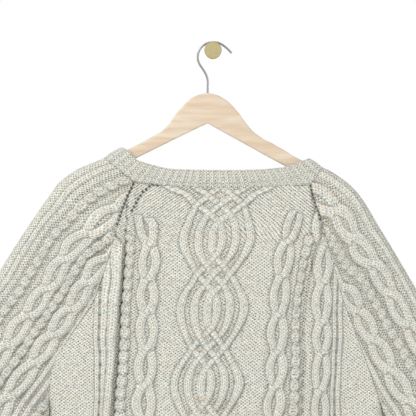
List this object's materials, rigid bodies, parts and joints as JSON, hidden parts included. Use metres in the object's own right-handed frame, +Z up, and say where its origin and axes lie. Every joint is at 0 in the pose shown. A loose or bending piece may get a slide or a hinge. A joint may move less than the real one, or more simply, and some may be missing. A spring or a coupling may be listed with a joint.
{
  "type": "cable knit sweater on a wooden hanger and wall peg",
  "caption": "Aran cable knit raglan sweater in oat marl wool, hung back side out on a flat wooden hanger from a round wall peg.",
  "frame": {"origin": "middle of the peg's wall face, where the peg is fixed to the wall", "axes": "+Z up, +Y into the wall, +X to the right as seen by someone facing the wall"},
  "size_m": [1.0579, 0.0761, 0.8226],
  "materials": {
    "knit": "marled wool, matt",
    "hanger_wood": "pale, satin lacquer",
    "steel_wire": "drawn, satin",
    "peg_brass": "dull, aged"
  },
  "bodies": {
    "root": {"back": "knit", "front": "knit", "hem_rib_back": "knit", "hem_rib_front": "knit", "sleeve_left": "knit", "cuff_left": "knit", "sleeve_right": "knit", "cuff_right": "knit", "neckband": "knit", "hanger": "hanger_wood", "hanger_hook": "steel_wire", "wall_peg": "peg_brass"}
  },
  "joints": []
}
